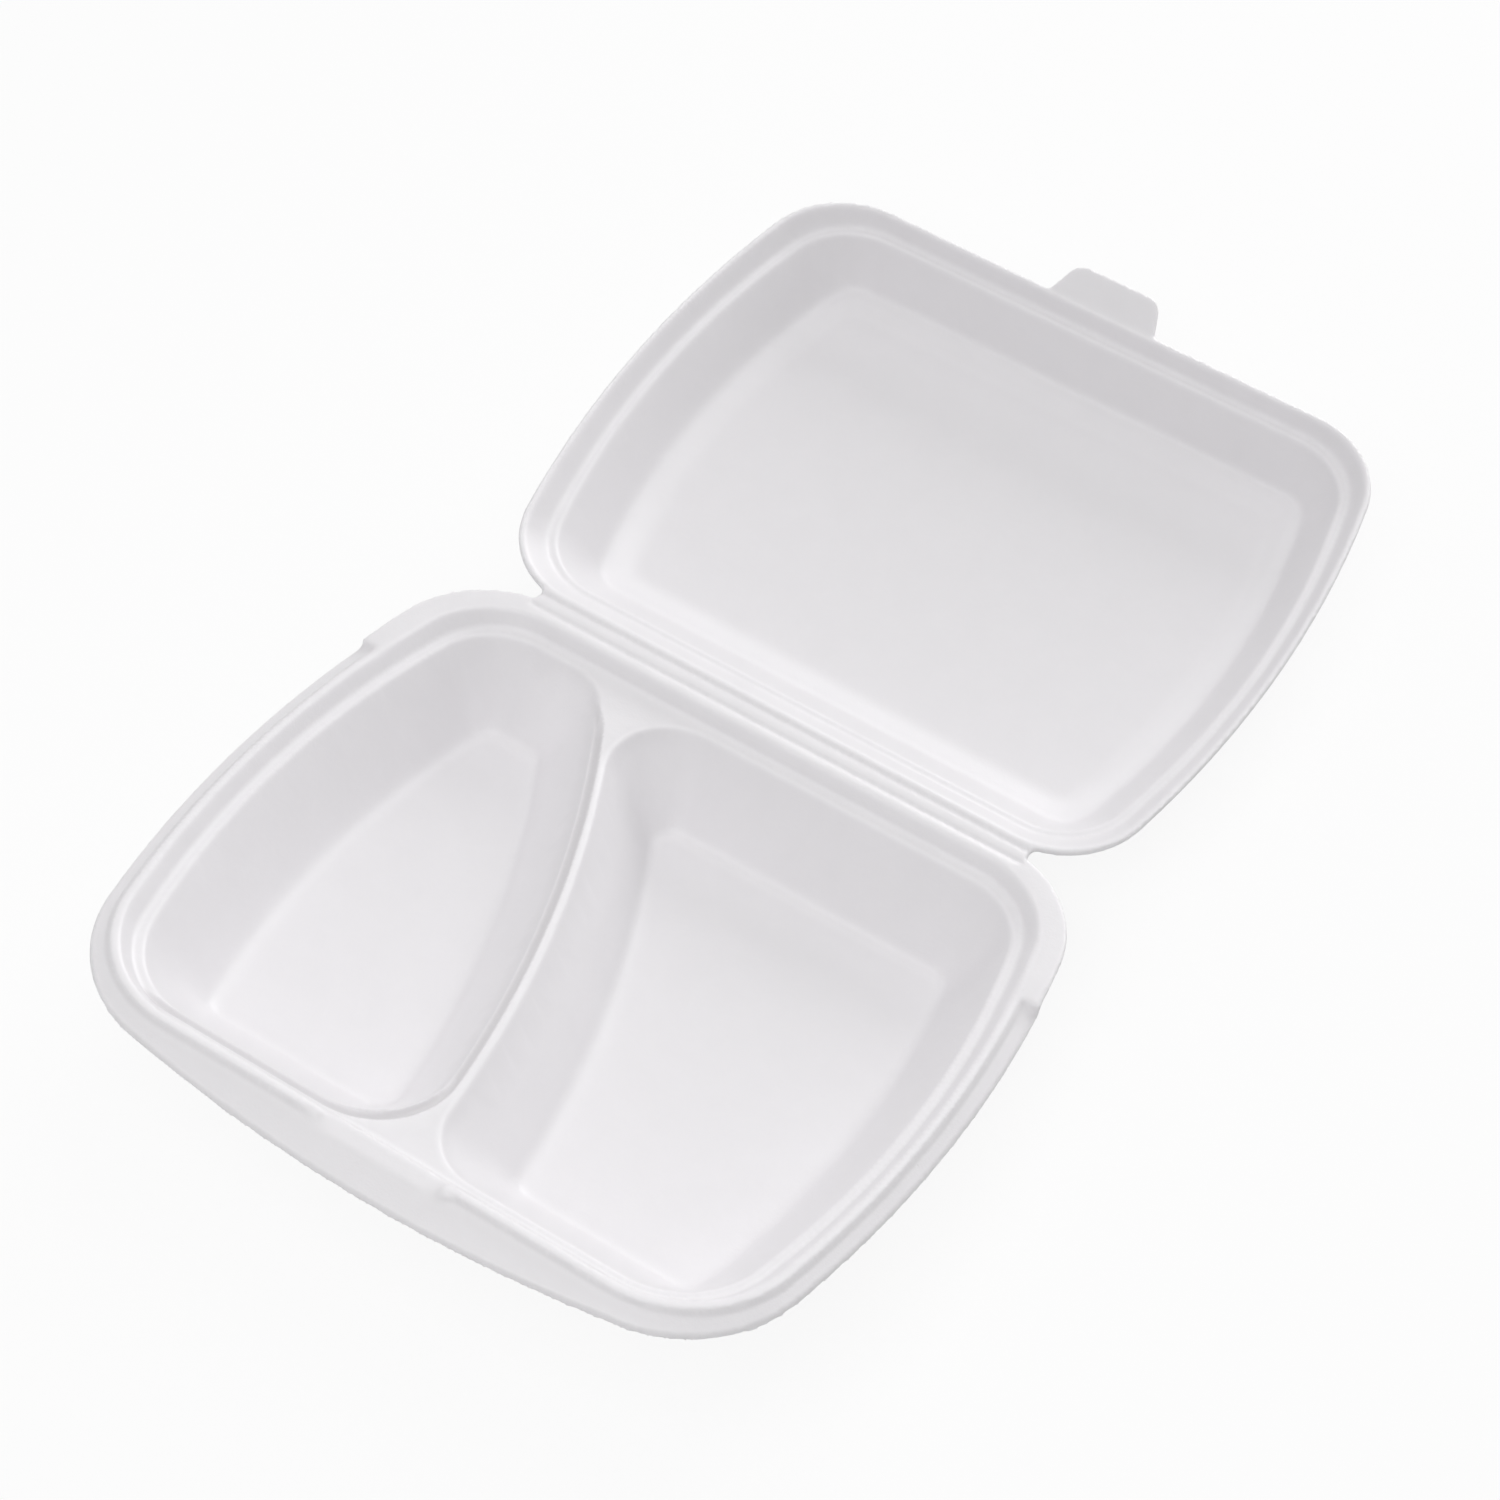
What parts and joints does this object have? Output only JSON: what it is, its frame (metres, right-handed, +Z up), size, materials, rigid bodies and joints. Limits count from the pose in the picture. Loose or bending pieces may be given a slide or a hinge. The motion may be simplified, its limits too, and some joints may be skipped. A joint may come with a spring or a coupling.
{
  "type": "hinged meal box",
  "caption": "Open takeaway meal box of white foamed plastic, with a divided tray, a creased hinge, a domed lid and a closing tab.",
  "frame": {"origin": "under the middle of the open box, on the surface that it lies on", "axes": "+X along the hinge to the right, +Y from the tray's front to the lid's tab, +Z up"},
  "size_m": [0.239, 0.412, 0.0589],
  "materials": {
    "foam": "satin"
  },
  "bodies": {
    "tray": {"tray": "foam"},
    "lid": {"lid": "foam"}
  },
  "joints": [
    {"name": "lid_hinge", "type": "hinge", "parent": "tray", "child": "lid", "pos_m": [0, 0.00053, 0.02856], "axis": [1, 0, 0], "range_deg": [-10, 170]}
  ]
}
